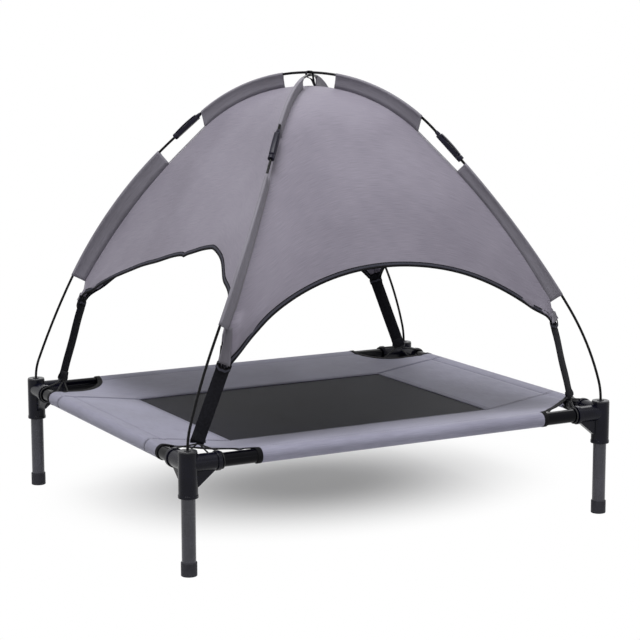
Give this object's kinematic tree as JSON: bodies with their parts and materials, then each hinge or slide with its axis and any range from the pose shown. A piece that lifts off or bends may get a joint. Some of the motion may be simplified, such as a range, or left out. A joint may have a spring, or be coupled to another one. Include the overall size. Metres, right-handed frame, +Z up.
{
  "type": "dog bed with frame",
  "caption": "Raised pet bed: slung cover with a mesh middle on a steel frame with legs, under a lift-off shade canopy on two crossed poles.",
  "frame": {"origin": "centre of the bed's footprint, on the floor", "axes": "+Z up, +X along the bed's long side, the long front side faces -Y"},
  "size_m": [0.9162, 0.7782, 0.8551],
  "materials": {
    "black_plastic": "moulded, fine grain",
    "joint_plastic": "moulded, satin",
    "bar_plastic": "gloss",
    "rivet_steel": "dark zinc",
    "rail_paint": "gloss black powder coat",
    "leg_paint": "satin dark grey powder coat",
    "foot_rubber": "matte",
    "cover_cloth": "coated oxford weave",
    "mesh_cloth": "open coated mesh",
    "canopy_cloth": "coated oxford weave",
    "sleeve_cloth": "coated oxford weave",
    "tape": "woven tape",
    "pole_fibreglass": "satin pultruded rod"
  },
  "bodies": {
    "bed": {"connector_front_left": "black_plastic", "connector_front_right": "black_plastic", "connector_back_left": "black_plastic", "connector_back_right": "black_plastic", "socket_cap_front_left": "black_plastic", "socket_cap_front_right": "black_plastic", "socket_cap_back_left": "black_plastic", "socket_cap_back_right": "black_plastic", "corner_binding_front_left": "tape", "corner_binding_front_right": "tape", "corner_binding_back_left": "tape", "corner_binding_back_right": "tape", "elastic_loop_front_left": "tape", "elastic_loop_front_right": "tape", "elastic_loop_back_left": "tape", "elastic_loop_back_right": "tape", "rail_front": "rail_paint", "rail_back": "rail_paint", "rail_left": "rail_paint", "rail_right": "rail_paint", "cover_border_front": "cover_cloth", "cover_border_back": "cover_cloth", "cover_border_left": "cover_cloth", "cover_border_right": "cover_cloth", "mesh_panel": "mesh_cloth"},
    "canopy": {"pole_lower_front_left": "pole_fibreglass", "pole_lower_front_right": "pole_fibreglass", "pole_lower_back_left": "pole_fibreglass", "pole_lower_back_right": "pole_fibreglass", "folding_joint_front_left": "joint_plastic", "folding_joint_front_right": "joint_plastic", "folding_joint_back_left": "joint_plastic", "folding_joint_back_right": "joint_plastic", "canopy_sleeve_front_left": "sleeve_cloth", "canopy_sleeve_front_right": "sleeve_cloth", "canopy_sleeve_back_left": "sleeve_cloth", "canopy_sleeve_back_right": "sleeve_cloth", "strap_front_left": "tape", "strap_front_right": "tape", "strap_back_left": "tape", "strap_back_right": "tape", "canopy_panel_front": "canopy_cloth", "canopy_panel_back": "canopy_cloth", "canopy_panel_left": "canopy_cloth", "canopy_panel_right": "canopy_cloth", "pole_crown_upper": "pole_fibreglass", "pole_crown_lower": "pole_fibreglass", "joint_rivets": "rivet_steel", "hem_binding": "tape", "strap_bars": "bar_plastic", "crown_tie": "tape"},
    "leg_front_left": {"leg_front_left": "leg_paint", "foot_front_left": "foot_rubber"},
    "leg_front_right": {"leg_front_right": "leg_paint", "foot_front_right": "foot_rubber"},
    "leg_back_left": {"leg_back_left": "leg_paint", "foot_back_left": "foot_rubber"},
    "leg_back_right": {"leg_back_right": "leg_paint", "foot_back_right": "foot_rubber"}
  },
  "joints": [
    {"name": "canopy_lift", "type": "slide", "parent": "bed", "child": "canopy", "axis": [0, 0, 1], "range_m": [0, 0.12]},
    {"name": "leg_pull_front_left", "type": "slide", "parent": "bed", "child": "leg_front_left", "axis": [0, 0, -1], "range_m": [0, 0.05]},
    {"name": "leg_pull_front_right", "type": "slide", "parent": "bed", "child": "leg_front_right", "axis": [0, 0, -1], "range_m": [0, 0.05]},
    {"name": "leg_pull_back_left", "type": "slide", "parent": "bed", "child": "leg_back_left", "axis": [0, 0, -1], "range_m": [0, 0.05]},
    {"name": "leg_pull_back_right", "type": "slide", "parent": "bed", "child": "leg_back_right", "axis": [0, 0, -1], "range_m": [0, 0.05]}
  ]
}
